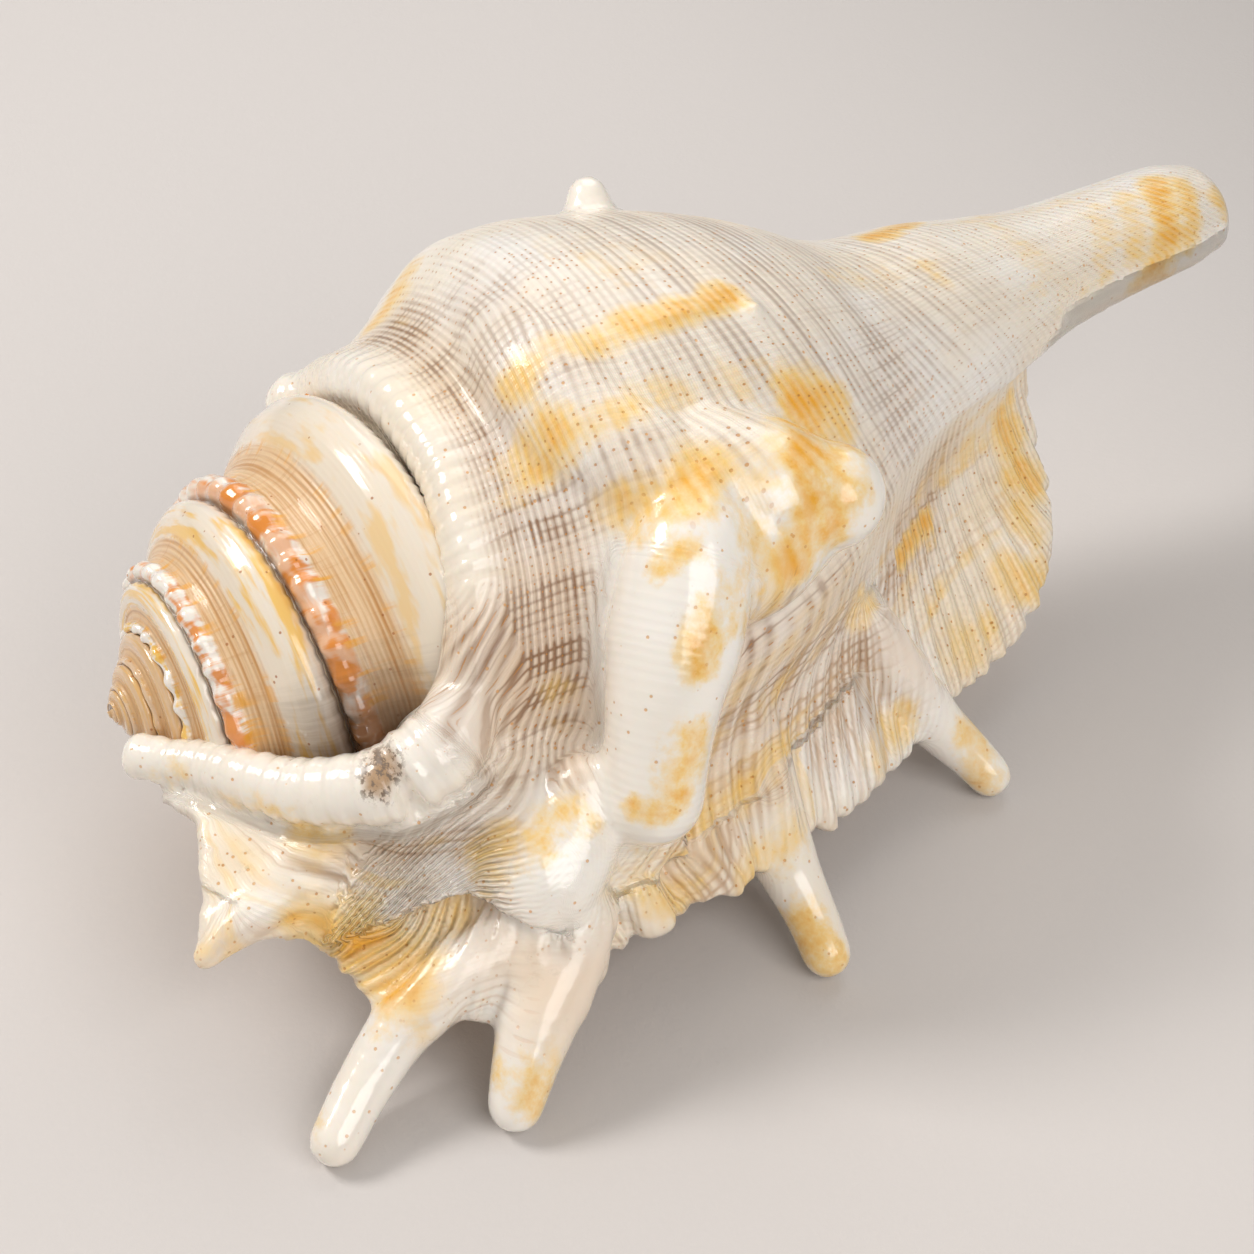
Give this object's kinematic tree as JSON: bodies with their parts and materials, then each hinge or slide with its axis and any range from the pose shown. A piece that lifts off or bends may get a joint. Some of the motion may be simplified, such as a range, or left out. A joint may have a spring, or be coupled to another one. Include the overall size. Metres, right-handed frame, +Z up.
{
  "type": "conch shell",
  "caption": "Large spider conch shell resting on its aperture, with a stepped spire, a knobbed back, a flared fingered lip and a long front canal.",
  "frame": {"origin": "middle of the shell's width and length, on the surface it rests on", "axes": "+Y from the apex of the spire to the tip of the front canal, +X to the side of the flared lip, +Z up from the aperture to the back"},
  "size_m": [0.1459, 0.2551, 0.11],
  "materials": {
    "shell": "cream shell, glossy on the knobs and whorl shoulders, finely corded and matt between them, with amber stains and brown specks"
  },
  "bodies": {
    "root": {"shell": "shell"}
  },
  "joints": []
}
